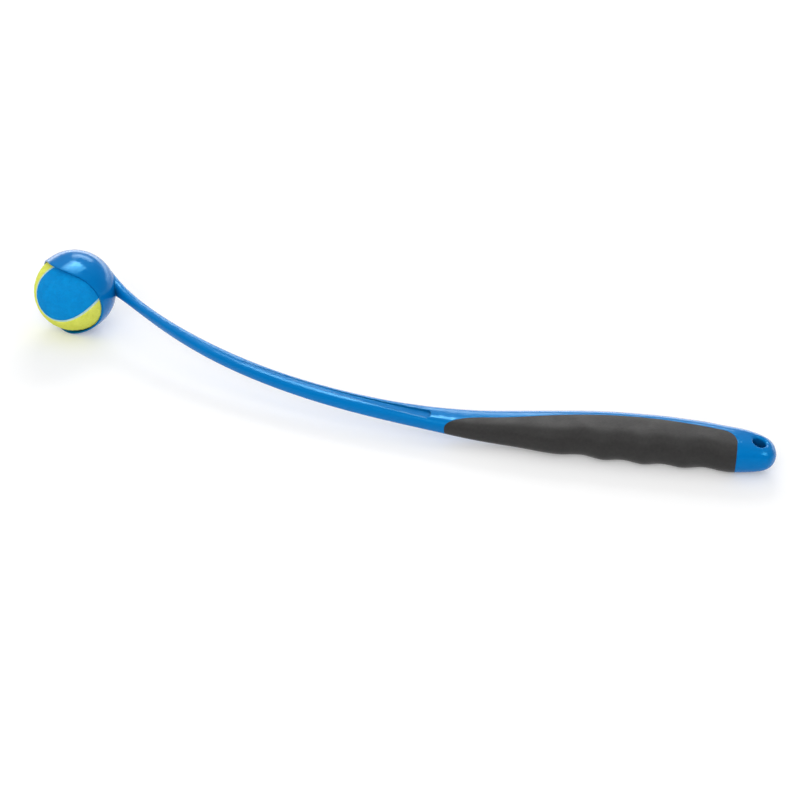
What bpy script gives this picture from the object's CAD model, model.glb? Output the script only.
import math
import bmesh
import bpy
import numpy as np
from mathutils import Matrix, Vector


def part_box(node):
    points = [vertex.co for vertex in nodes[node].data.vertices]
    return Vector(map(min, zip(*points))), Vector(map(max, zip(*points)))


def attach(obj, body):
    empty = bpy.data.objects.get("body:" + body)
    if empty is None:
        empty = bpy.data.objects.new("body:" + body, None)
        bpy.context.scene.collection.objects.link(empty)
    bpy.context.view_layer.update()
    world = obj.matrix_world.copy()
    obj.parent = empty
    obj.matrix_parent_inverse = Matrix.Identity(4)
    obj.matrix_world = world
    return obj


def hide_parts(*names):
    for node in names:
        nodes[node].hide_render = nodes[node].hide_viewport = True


# A ball launcher lying on a pale table: a bowed blue plastic arm with a finger grip,
# and a felt ball in its cup. The frame gives the solids, and this script dresses them.
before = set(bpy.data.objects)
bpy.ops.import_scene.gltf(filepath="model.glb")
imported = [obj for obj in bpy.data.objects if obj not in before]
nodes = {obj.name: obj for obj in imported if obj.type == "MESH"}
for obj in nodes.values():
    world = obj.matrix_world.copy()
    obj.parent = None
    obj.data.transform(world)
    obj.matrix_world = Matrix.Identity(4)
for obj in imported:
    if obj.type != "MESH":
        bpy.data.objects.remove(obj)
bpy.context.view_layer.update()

# Sizes of the ball in metres and its turns in degrees, as in the part's source
ball_radius = 0.0328
felt_thickness = 0.0030
seam_width = 0.0018
seam_neck = 0.278
lying_turns = (-7.6, -0.09, 9.4)
seam_turns = (136.1, -54.3, 38.7)

# Felt panels and their nap, in metres, and in degrees for the lift of the fibres
felt_steps = 480
felt_rows = 44
felt_roll = 0.0012
felt_crown = 0.0008
felt_reach = math.radians(96.0)
felt_relief = 0.00010
roll_shares = np.array([0.0, 0.03, 0.10, 0.22, 0.40, 0.65, 1.0])
wool_waves = 26
wool_pace = (28.0, 95.0)
nap_count = 11000
nap_length = 0.0011
nap_shares = (0.45, 1.15)
nap_width = 0.00005
nap_lift = (4.0, 38.0)
nap_first_row = 6
needle_turns = (0.0, 2.0944, 4.1888)
weld_gap = 1e-7

# Camera of the photograph, in metres and, for the lens, millimetres
camera_place = Vector((-0.0088, -1.3395, 0.7843))
camera_target = Vector((0.0110, -0.0497, 0.0188))
camera_roll = math.radians(1.545)
camera_lens = 86.0
camera_sensor = 36.0

# Colours, as linear values
blue_body = (0.000, 0.192, 0.565, 1.0)
blue_deep = (0.000, 0.176, 0.530, 1.0)
blue_sheen = (0.100, 0.680, 1.000, 1.0)
grip_pale = (0.030, 0.029, 0.028, 1.0)
grip_dark = (0.024, 0.023, 0.023, 1.0)
felt_blue_pale = (0.000, 0.325, 0.790, 1.0)
felt_blue_dark = (0.000, 0.280, 0.715, 1.0)
felt_yellow_pale = (0.920, 0.960, 0.165, 1.0)
felt_yellow_dark = (0.850, 0.900, 0.125, 1.0)
seam_pale = (0.600, 0.860, 0.800, 1.0)
seam_dark = (0.430, 0.700, 0.660, 1.0)
rubber_pale = (0.110, 0.108, 0.105, 1.0)
rubber_dark = (0.070, 0.069, 0.067, 1.0)
floor_pale = (0.800, 0.800, 0.800, 1.0)
floor_soft = (0.785, 0.785, 0.787, 1.0)
wall_pale = (0.850, 0.850, 0.850, 1.0)
pure_white = (1.000, 1.000, 1.000, 1.0)

# Floor and wall: half widths, distance and heights in metres, and glow
floor_half = 9.0
floor_height = -0.0001
floor_glow = 0.25
wall_half = 5.0
wall_far = 3.2
wall_tall = 0.8
wall_glow = 2.4

# Light of the room: its levels at a low and at a high upward share of a direction
room_upward = (0.45, 0.85)
room_levels = (0.38, 0.85)

# Points at which the soft boxes look
cup_top = (-0.259, 0.081, 0.068)
past_handle = (0.54, -0.16, 0.02)
table_middle = (0.0, 0.0, 0.0)


def turned(about, degrees):
    """The 3 by 3 matrix of a turn about one named axis."""
    return np.array(Matrix.Rotation(math.radians(degrees), 3, about))


def ball_frame():
    """The ball's centre and its turn, which is the lying turns about Z, Y and X
    times the seam's turns about X, Y and Z.
    """
    left_low, left_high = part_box("ball_rubber_left")
    right_low, right_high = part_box("ball_rubber_right")
    low = np.minimum(np.array(left_low), np.array(right_low))
    high = np.maximum(np.array(left_high), np.array(right_high))
    lying = turned("Z", lying_turns[0]) @ turned("Y", lying_turns[1]) @ turned("X", lying_turns[2])
    tilt = turned("X", seam_turns[0]) @ turned("Y", seam_turns[1]) @ turned("Z", seam_turns[2])
    return (low + high) / 2.0, lying @ tilt


def new_group(name, inputs, outputs):
    """A shader node group with named inputs and outputs, each a pair of name and socket kind."""
    made = bpy.data.node_groups.new(name, "ShaderNodeTree")
    for label, kind in inputs:
        made.interface.new_socket(name=label, in_out="INPUT", socket_type=kind)
    for label, kind in outputs:
        made.interface.new_socket(name=label, in_out="OUTPUT", socket_type=kind)
    entry = made.nodes.new("NodeGroupInput")
    leave = made.nodes.new("NodeGroupOutput")
    return made, entry, leave


def add(tree, kind, **settings):
    """A new node of that kind, with the named settings on it."""
    made = tree.nodes.new(kind)
    for name, value in settings.items():
        setattr(made, name, value)
    return made


def level_between(tree, low, high, to_low=0.0, to_high=1.0):
    """A Map Range node from one span of values to another."""
    made = add(tree, "ShaderNodeMapRange")
    made.inputs["From Min"].default_value = low
    made.inputs["From Max"].default_value = high
    made.inputs["To Min"].default_value = to_low
    made.inputs["To Max"].default_value = to_high
    return made


def shaded_by(tree, colour, level):
    """A colour times a level, from two sockets."""
    made = add(tree, "ShaderNodeMix", data_type="RGBA", blend_type="MULTIPLY")
    made.inputs["Factor"].default_value = 1.0
    tree.links.new(colour, made.inputs["A"])
    tree.links.new(level, made.inputs["B"])
    return made


def noise_on_piece(tree, stretch=(1.0, 1.0, 1.0), detail=3.0):
    """A noise texture on Object coordinates, stretched along the axes."""
    place = add(tree, "ShaderNodeTexCoord")
    spread = add(tree, "ShaderNodeMapping")
    spread.inputs["Scale"].default_value = stretch
    grain = add(tree, "ShaderNodeTexNoise")
    grain.inputs["Detail"].default_value = detail
    tree.links.new(place.outputs["Object"], spread.inputs["Vector"])
    tree.links.new(spread.outputs["Vector"], grain.inputs["Vector"])
    return grain


def mottled_tint_group():
    """Two colours mixed by a soft noise of the given scale."""
    made, entry, leave = new_group(
        "mottled_tint",
        [("Pale", "NodeSocketColor"), ("Dark", "NodeSocketColor"), ("Scale", "NodeSocketFloat")],
        [("Color", "NodeSocketColor")],
    )
    grain = noise_on_piece(made, detail=5.0)
    level = level_between(made, low=0.32, high=0.68)
    mix = add(made, "ShaderNodeMix", data_type="RGBA")
    made.links.new(entry.outputs["Scale"], grain.inputs["Scale"])
    made.links.new(grain.outputs["Fac"], level.inputs["Value"])
    made.links.new(level.outputs["Result"], mix.inputs["Factor"])
    made.links.new(entry.outputs["Pale"], mix.inputs["A"])
    made.links.new(entry.outputs["Dark"], mix.inputs["B"])
    made.links.new(mix.outputs["Result"], leave.inputs["Color"])
    return made


def rubbed_gloss_group():
    """Roughness between a low and a high value, by noise patches and thin lines along the piece."""
    made, entry, leave = new_group(
        "rubbed_gloss",
        [("Low", "NodeSocketFloat"), ("High", "NodeSocketFloat"), ("Scale", "NodeSocketFloat")],
        [("Roughness", "NodeSocketFloat")],
    )
    patch = noise_on_piece(made, detail=4.0)
    line = noise_on_piece(made, stretch=(25.0, 700.0, 700.0), detail=2.0)
    line.inputs["Scale"].default_value = 1.0
    thin = level_between(made, low=0.62, high=0.72)
    both = add(made, "ShaderNodeMath", operation="MAXIMUM")
    level = level_between(made, low=0.30, high=0.85)
    made.links.new(entry.outputs["Scale"], patch.inputs["Scale"])
    made.links.new(line.outputs["Fac"], thin.inputs["Value"])
    made.links.new(patch.outputs["Fac"], both.inputs[0])
    made.links.new(thin.outputs["Result"], both.inputs[1])
    made.links.new(both.outputs["Value"], level.inputs["Value"])
    made.links.new(entry.outputs["Low"], level.inputs["To Min"])
    made.links.new(entry.outputs["High"], level.inputs["To Max"])
    made.links.new(level.outputs["Result"], leave.inputs["Roughness"])
    return made


def moulded_grain_group():
    """Height of a fine moulded grain: small rounded cells broken up by noise."""
    made, entry, leave = new_group(
        "moulded_grain",
        [("Scale", "NodeSocketFloat")],
        [("Height", "NodeSocketFloat")],
    )
    place = add(made, "ShaderNodeTexCoord")
    cell = add(made, "ShaderNodeTexVoronoi", feature="SMOOTH_F1")
    fine = noise_on_piece(made, detail=4.0)
    both = add(made, "ShaderNodeMath", operation="MULTIPLY")
    made.links.new(place.outputs["Object"], cell.inputs["Vector"])
    made.links.new(entry.outputs["Scale"], cell.inputs["Scale"])
    made.links.new(entry.outputs["Scale"], fine.inputs["Scale"])
    made.links.new(cell.outputs["Distance"], both.inputs[0])
    made.links.new(fine.outputs["Fac"], both.inputs[1])
    made.links.new(both.outputs["Value"], leave.inputs["Height"])
    return made


mottled_tint = mottled_tint_group()
rubbed_gloss = rubbed_gloss_group()
moulded_grain = moulded_grain_group()


def finish_of(name):
    """A new material with its node tree and its Principled shader."""
    made = bpy.data.materials.new(name)
    made.use_nodes = True
    return made, made.node_tree, made.node_tree.nodes["Principled BSDF"]


def place_group(tree, group, **values):
    """One of the shared groups in a material, with its own values."""
    made = add(tree, "ShaderNodeGroup", node_tree=group)
    for label, value in values.items():
        made.inputs[label].default_value = value
    return made


def raise_grain(tree, shader, height, strength, distance, edge=0.0):
    """A bump from a height to the shader's Normal, over moulded edges of a small radius."""
    bump = add(tree, "ShaderNodeBump")
    if edge:
        soft = add(tree, "ShaderNodeBevel", samples=6)
        soft.inputs["Radius"].default_value = edge
        tree.links.new(soft.outputs["Normal"], bump.inputs["Normal"])
    bump.inputs["Strength"].default_value = strength
    bump.inputs["Distance"].default_value = distance
    tree.links.new(height, bump.inputs["Height"])
    tree.links.new(bump.outputs["Normal"], shader.inputs["Normal"])


def blue_plastic():
    """Glossy moulded plastic: close blues, deeper in hollows, with rubbed gloss and a faint grain."""
    made, tree, shader = finish_of("blue_plastic")
    tint = place_group(tree, mottled_tint, Pale=blue_body, Dark=blue_deep, Scale=22.0)
    hollow = add(tree, "ShaderNodeAmbientOcclusion", samples=6, only_local=True)
    hollow.inputs["Distance"].default_value = 0.012
    depth = level_between(tree, low=0.15, high=0.80, to_low=0.45)
    tree.links.new(hollow.outputs["AO"], depth.inputs["Value"])
    shade = shaded_by(tree, tint.outputs["Color"], depth.outputs["Result"])
    gloss = place_group(tree, rubbed_gloss, Low=0.13, High=0.24, Scale=60.0)
    grain = place_group(tree, moulded_grain, Scale=1500.0)
    tree.links.new(shade.outputs["Result"], shader.inputs["Base Color"])
    tree.links.new(gloss.outputs["Roughness"], shader.inputs["Roughness"])
    shader.inputs["Specular IOR Level"].default_value = 0.34
    shader.inputs["Specular Tint"].default_value = blue_sheen
    raise_grain(tree, shader, grain.outputs["Height"], strength=0.06, distance=0.0001, edge=0.0020)
    return made


def soft_grip():
    """Soft-touch grip rubber: matt charcoal with a fine pebble."""
    made, tree, shader = finish_of("soft_grip")
    tint = place_group(tree, mottled_tint, Pale=grip_pale, Dark=grip_dark, Scale=420.0)
    gloss = place_group(tree, rubbed_gloss, Low=0.48, High=0.68, Scale=90.0)
    grain = place_group(tree, moulded_grain, Scale=1400.0)
    tree.links.new(tint.outputs["Color"], shader.inputs["Base Color"])
    tree.links.new(gloss.outputs["Roughness"], shader.inputs["Roughness"])
    shader.inputs["Specular IOR Level"].default_value = 0.20
    shader.inputs["Sheen Weight"].default_value = 0.30
    shader.inputs["Sheen Roughness"].default_value = 0.45
    raise_grain(tree, shader, grain.outputs["Height"], strength=0.40, distance=0.0003)
    return made


def ball_felt(name, pale, dark):
    """Felt: woolly patches of two close colours, rough, with crossed fibres and a soft sheen."""
    made, tree, shader = finish_of(name)
    tint = place_group(tree, mottled_tint, Pale=pale, Dark=dark, Scale=170.0)
    fleck = noise_on_piece(tree, stretch=(900.0, 500.0, 900.0), detail=3.0)
    fleck.inputs["Scale"].default_value = 1.0
    warp = noise_on_piece(tree, stretch=(500.0, 1100.0, 600.0), detail=3.0)
    warp.inputs["Scale"].default_value = 1.0
    both = add(tree, "ShaderNodeMath", operation="ADD")
    tree.links.new(fleck.outputs["Fac"], both.inputs[0])
    tree.links.new(warp.outputs["Fac"], both.inputs[1])
    level = level_between(tree, low=0.7, high=1.3, to_low=0.90)
    tree.links.new(both.outputs["Value"], level.inputs["Value"])
    shade = shaded_by(tree, tint.outputs["Color"], level.outputs["Result"])
    tree.links.new(shade.outputs["Result"], shader.inputs["Base Color"])
    gloss = place_group(tree, rubbed_gloss, Low=0.86, High=0.98, Scale=300.0)
    tree.links.new(gloss.outputs["Roughness"], shader.inputs["Roughness"])
    shader.inputs["Specular IOR Level"].default_value = 0.15
    shader.inputs["Sheen Weight"].default_value = 0.22
    shader.inputs["Sheen Roughness"].default_value = 0.55
    shader.inputs["Sheen Tint"].default_value = pale
    raise_grain(tree, shader, both.outputs["Value"], strength=0.55, distance=0.0006)
    return made


def plain_rubber(name, pale, dark, low, high):
    """Rubber of two close colours with a fine grain."""
    made, tree, shader = finish_of(name)
    tint = place_group(tree, mottled_tint, Pale=pale, Dark=dark, Scale=240.0)
    gloss = place_group(tree, rubbed_gloss, Low=low, High=high, Scale=150.0)
    grain = place_group(tree, moulded_grain, Scale=1200.0)
    tree.links.new(tint.outputs["Color"], shader.inputs["Base Color"])
    tree.links.new(gloss.outputs["Roughness"], shader.inputs["Roughness"])
    raise_grain(tree, shader, grain.outputs["Height"], strength=0.25, distance=0.0002)
    return made


def dress(node, material):
    """Puts a material on a CAD node's own slots."""
    piece = nodes[node]
    if not piece.material_slots:
        piece.data.materials.append(material)
    for place in piece.material_slots:
        place.material = material


def new_piece(name, spots, faces, material, smooth=True):
    """A mesh object from arrays of points and faces, closed where its points meet."""
    mesh = bpy.data.meshes.new(name)
    mesh.from_pydata(spots, [], faces)
    work = bmesh.new()
    work.from_mesh(mesh)
    bmesh.ops.remove_doubles(work, verts=work.verts, dist=weld_gap)
    work.to_mesh(mesh)
    work.free()
    mesh.polygons.foreach_set("use_smooth", np.full(len(mesh.polygons), smooth))
    mesh.materials.append(material)
    piece = bpy.data.objects.new(name, mesh)
    bpy.context.scene.collection.objects.link(piece)
    return piece


def seam_line(turn):
    """Unit points of the seam: a cos t + b cos 3t, a sin t - b sin 3t, 2 root(ab) sin 2t."""
    broad = 1.0 - seam_neck
    rise = 2.0 * math.sqrt(broad * seam_neck)
    across = broad * np.cos(turn) + seam_neck * np.cos(3 * turn)
    along = broad * np.sin(turn) - seam_neck * np.sin(3 * turn)
    return np.stack([across, along, rise * np.sin(2 * turn)], axis=-1)


def seam_run(turn):
    """The seam's direction of travel: the first derivative of seam_line."""
    broad = 1.0 - seam_neck
    rise = 2.0 * math.sqrt(broad * seam_neck)
    across = -broad * np.sin(turn) - 3 * seam_neck * np.sin(3 * turn)
    along = broad * np.cos(turn) - 3 * seam_neck * np.cos(3 * turn)
    return np.stack([across, along, 2 * rise * np.cos(2 * turn)], axis=-1)


def wool(unit, seed):
    """A woolly relief of about unit size: a sum of sine waves in seeded directions."""
    made = np.random.default_rng(seed)
    way = made.normal(size=(wool_waves, 3))
    way /= np.linalg.norm(way, axis=1)[:, None]
    pace = made.uniform(*wool_pace, size=wool_waves)
    start = made.uniform(0.0, 2 * math.pi, size=wool_waves)
    swell = np.sin(unit @ (way * pace[:, None]).T + start)
    return swell.sum(axis=-1) / math.sqrt(wool_waves)


def felt_surface(side, seed):
    """Points of one felt panel, by row and turn.

    Each row runs round the panel: from the seam's edge, moved in by half the seam's width,
    great circles lead to the panel's middle line, an arc whose reach goes as the sine of the turn.
    The radius falls away over the edge's roll as a quarter ellipse and carries a woolly relief.
    """
    turn = np.linspace(0.0, 2 * math.pi, felt_steps, endpoint=False)
    line = seam_line(turn)
    inward = np.cross(line, seam_run(turn))
    inward /= np.linalg.norm(inward, axis=1)[:, None]
    gap = seam_width / 2 / ball_radius
    rim = line * math.cos(gap) + inward * math.sin(gap)
    swing = felt_reach * np.sin(turn - math.pi / 4)
    outer = np.array([-1.0, 1.0, 0.0]) / math.sqrt(2.0)
    middle = np.sin(swing)[:, None] * outer + np.cos(swing)[:, None] * np.array([0.0, 0.0, 1.0])
    span = np.arccos(np.clip((rim * middle).sum(axis=1), -1.0, 1.0))
    roll = felt_roll / ball_radius
    near = roll * roll_shares
    share = np.linspace(0.0, 1.0, felt_rows + 1)[1:]
    first = np.repeat(near[:, None], felt_steps, axis=1)
    rest = roll + (span - roll)[None, :] * share[:, None]
    bend = np.concatenate([first, rest], axis=0)
    unit = np.sin(span - bend)[..., None] * rim + np.sin(bend)[..., None] * middle
    unit /= np.linalg.norm(unit, axis=-1)[..., None]
    over = 1.0 - np.minimum(bend / roll, 1.0)
    radius = ball_radius - felt_crown * (1.0 - np.sqrt(1.0 - over * over))
    radius = radius + felt_relief * wool(unit, seed) * (1.0 - over) - felt_relief
    skirt = (rim * (ball_radius - felt_thickness))[None]
    spots = np.concatenate([skirt, unit * radius[..., None]], axis=0)
    if side < 0:
        spots = np.stack([-spots[..., 1], spots[..., 0], -spots[..., 2]], axis=-1)
    centre, turn_of_ball = ball_frame()
    return spots @ turn_of_ball.T + centre


def grid_faces(rows, steps, flip):
    """Four-sided faces of a grid that closes round its steps."""
    row, step = np.meshgrid(np.arange(rows - 1), np.arange(steps), indexing="ij")
    ahead = (step + 1) % steps
    below = row * steps
    above = (row + 1) * steps
    faces = np.stack([below + step, below + ahead, above + ahead, above + step], axis=-1)
    faces = faces.reshape(-1, 4)
    return faces[:, ::-1] if flip else faces


def felt_panel(name, side, seed, material, node):
    """One felt panel of the ball, in place of its CAD solid."""
    spots = felt_surface(side, seed)
    rows, steps = spots.shape[:2]
    piece = new_piece(name, spots.reshape(-1, 3), grid_faces(rows, steps, side < 0), material)
    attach(piece, "ball")
    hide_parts(node)
    return spots


def felt_nap(name, spots, seed, material):
    """Short fibres on a felt panel: three-sided needles at seeded points and leans."""
    made = np.random.default_rng(seed)
    centre, _ = ball_frame()
    top = spots[nap_first_row:]
    low, high = top[:-1], top[1:]
    size = np.linalg.norm(np.cross(high - low, np.roll(low, -1, axis=1) - low), axis=-1)
    odds = (size / size.sum()).ravel()
    chosen = made.choice(odds.size, size=nap_count, p=odds)
    row, step = np.unravel_index(chosen, size.shape)
    ahead = (step + 1) % top.shape[1]
    u, v = made.uniform(size=(2, nap_count, 1))
    foot = (1 - u) * ((1 - v) * top[row, step] + v * top[row, ahead])
    foot = foot + u * ((1 - v) * top[row + 1, step] + v * top[row + 1, ahead])
    out = foot - centre
    out /= np.linalg.norm(out, axis=1)[:, None]
    lean = np.cross(out, made.normal(size=(nap_count, 3)))
    lean /= np.linalg.norm(lean, axis=1)[:, None]
    rise = np.radians(made.uniform(*nap_lift, size=(nap_count, 1)))
    way = np.cos(rise) * lean + np.sin(rise) * out
    side = np.cross(way, out)
    side /= np.linalg.norm(side, axis=1)[:, None]
    back = np.cross(side, way)
    foot = foot - out * nap_width
    reach = nap_length * made.uniform(*nap_shares, size=(nap_count, 1))
    corners = [foot + nap_width * (math.cos(a) * side + math.sin(a) * back) for a in needle_turns]
    needles = np.stack(corners + [foot + way * reach], axis=1)
    first = 4 * np.arange(nap_count)[:, None, None]
    faces = first + np.array([[0, 1, 2], [0, 3, 1], [1, 3, 2], [2, 3, 0]])
    piece = new_piece(name, needles.reshape(-1, 3), faces.reshape(-1, 3), material, smooth=False)
    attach(piece, "ball")


def pale_floor():
    """A pale table top: a flat square that shows white where light falls freely and keeps the shadow."""
    made, tree, shader = finish_of("pale_floor")
    tree.nodes.remove(shader)
    leave = tree.nodes["Material Output"]
    matt = add(tree, "ShaderNodeBsdfDiffuse")
    tint = place_group(tree, mottled_tint, Pale=floor_pale, Dark=floor_soft, Scale=3.0)
    glow = add(tree, "ShaderNodeEmission")
    path = add(tree, "ShaderNodeLightPath")
    seen = add(tree, "ShaderNodeMath", operation="MAXIMUM")
    also = add(tree, "ShaderNodeMath", operation="MAXIMUM")
    level = add(tree, "ShaderNodeMath", operation="MULTIPLY")
    level.inputs[1].default_value = floor_glow
    total = add(tree, "ShaderNodeAddShader")
    tree.links.new(tint.outputs["Color"], matt.inputs["Color"])
    tree.links.new(path.outputs["Is Camera Ray"], seen.inputs[0])
    tree.links.new(path.outputs["Is Glossy Ray"], seen.inputs[1])
    tree.links.new(seen.outputs["Value"], also.inputs[0])
    tree.links.new(path.outputs["Is Transmission Ray"], also.inputs[1])
    tree.links.new(also.outputs["Value"], level.inputs[0])
    tree.links.new(level.outputs["Value"], glow.inputs["Strength"])
    tree.links.new(matt.outputs["BSDF"], total.inputs[0])
    tree.links.new(glow.outputs["Emission"], total.inputs[1])
    tree.links.new(total.outputs["Shader"], leave.inputs["Surface"])
    half = floor_half
    low = floor_height
    spots = np.array([[-half, -half, low], [half, -half, low], [half, half, low], [-half, half, low]])
    new_piece("table_top", spots, [(0, 1, 2, 3)], made, smooth=False)


def soft_box(name, place, aim, wide, deep, power, gloss_only=False):
    """A rectangular soft lamp that looks at a point, with or without its light on matt surfaces."""
    lamp = bpy.data.lights.new(name, "AREA")
    lamp.shape = "RECTANGLE"
    lamp.size = wide
    lamp.size_y = deep
    lamp.energy = power
    made = bpy.data.objects.new(name, lamp)
    made.location = place
    made.visible_camera = False
    made.visible_diffuse = not gloss_only
    made.rotation_euler = (Vector(aim) - Vector(place)).to_track_quat("-Z", "Y").to_euler()
    bpy.context.scene.collection.objects.link(made)


def back_wall():
    """A pale wall far behind the table, out of the picture, for the gloss along upper edges."""
    made, _, shader = finish_of("pale_wall")
    shader.inputs["Base Color"].default_value = wall_pale
    shader.inputs["Roughness"].default_value = 1.0
    shader.inputs["Emission Color"].default_value = pure_white
    shader.inputs["Emission Strength"].default_value = wall_glow
    half = wall_half
    far = wall_far
    tall = wall_tall
    spots = np.array([[-half, far, 0.0], [half, far, 0.0], [half, far, tall], [-half, far, tall]])
    new_piece("back_wall", spots, [(0, 1, 2, 3)], made, smooth=False)


def studio_light():
    """A room pale overhead and dim low down, three soft boxes for gloss, and two wide ones."""
    world = bpy.data.worlds.new("pale_room")
    bpy.context.scene.world = world
    world.use_nodes = True
    tree = world.node_tree
    air = tree.nodes["Background"]
    air.inputs["Color"].default_value = pure_white
    way = add(tree, "ShaderNodeTexCoord")
    parts = add(tree, "ShaderNodeSeparateXYZ")
    level = level_between(tree, *room_upward, *room_levels)
    level.interpolation_type = "SMOOTHSTEP"
    tree.links.new(way.outputs["Generated"], parts.inputs["Vector"])
    tree.links.new(parts.outputs["Z"], level.inputs["Value"])
    tree.links.new(level.outputs["Result"], air.inputs["Strength"])
    soft_box(
        "soft_box_cup", place=(-0.008, 0.640, 1.539), aim=cup_top,
        wide=1.10, deep=0.42, power=16.0, gloss_only=True,
    )
    soft_box(
        "soft_box_core", place=(-0.030, 0.690, 1.516), aim=cup_top,
        wide=0.49, deep=0.20, power=4.3, gloss_only=True,
    )
    soft_box(
        "soft_box_end", place=(0.51, -0.26, 0.25), aim=past_handle,
        wide=0.15, deep=0.15, power=0.80, gloss_only=True,
    )
    soft_box(
        "soft_box_back", place=(0.15, 2.3, 1.65), aim=table_middle,
        wide=1.5, deep=0.75, power=21.0,
    )
    soft_box(
        "soft_box_front", place=(-0.5, -2.0, 1.5), aim=table_middle,
        wide=1.6, deep=1.6, power=24.0,
    )


def photo_camera():
    """The photograph's camera: from its place to its target, with a slight roll."""
    lens = bpy.data.cameras.new("photo_camera")
    lens.sensor_width = camera_sensor
    lens.lens = camera_lens
    ahead = (camera_target - camera_place).normalized()
    level = ahead.cross(Vector((0.0, 0.0, 1.0))).normalized()
    above = level.cross(ahead)
    right = level * math.cos(camera_roll) + above * math.sin(camera_roll)
    up = right.cross(ahead)
    made = bpy.data.objects.new("photo_camera", lens)
    made.matrix_world = Matrix((right, up, -ahead)).transposed().to_4x4()
    made.location = camera_place
    bpy.context.scene.collection.objects.link(made)
    bpy.context.scene.camera = made


bpy.context.scene.view_settings.view_transform = "Standard"
photo_camera()
studio_light()
pale_floor()
back_wall()

felt_blue = ball_felt("blue_felt", felt_blue_pale, felt_blue_dark)
felt_yellow = ball_felt("yellow_felt", felt_yellow_pale, felt_yellow_dark)
hollow_rubber = plain_rubber("ball_rubber", rubber_pale, rubber_dark, low=0.60, high=0.75)
seam_rubber = plain_rubber("seam_rubber", seam_pale, seam_dark, low=0.45, high=0.60)
dress("arm", blue_plastic())
dress("grip", soft_grip())
dress("ball_seam", seam_rubber)
dress("ball_rubber_left", hollow_rubber)
dress("ball_rubber_right", hollow_rubber)
yellow_spots = felt_panel("felt_panel_yellow", 1, 11, felt_yellow, "ball_felt_yellow")
blue_spots = felt_panel("felt_panel_blue", -1, 12, felt_blue, "ball_felt_blue")
felt_nap("felt_nap_yellow", yellow_spots, 21, felt_yellow)
felt_nap("felt_nap_blue", blue_spots, 22, felt_blue)
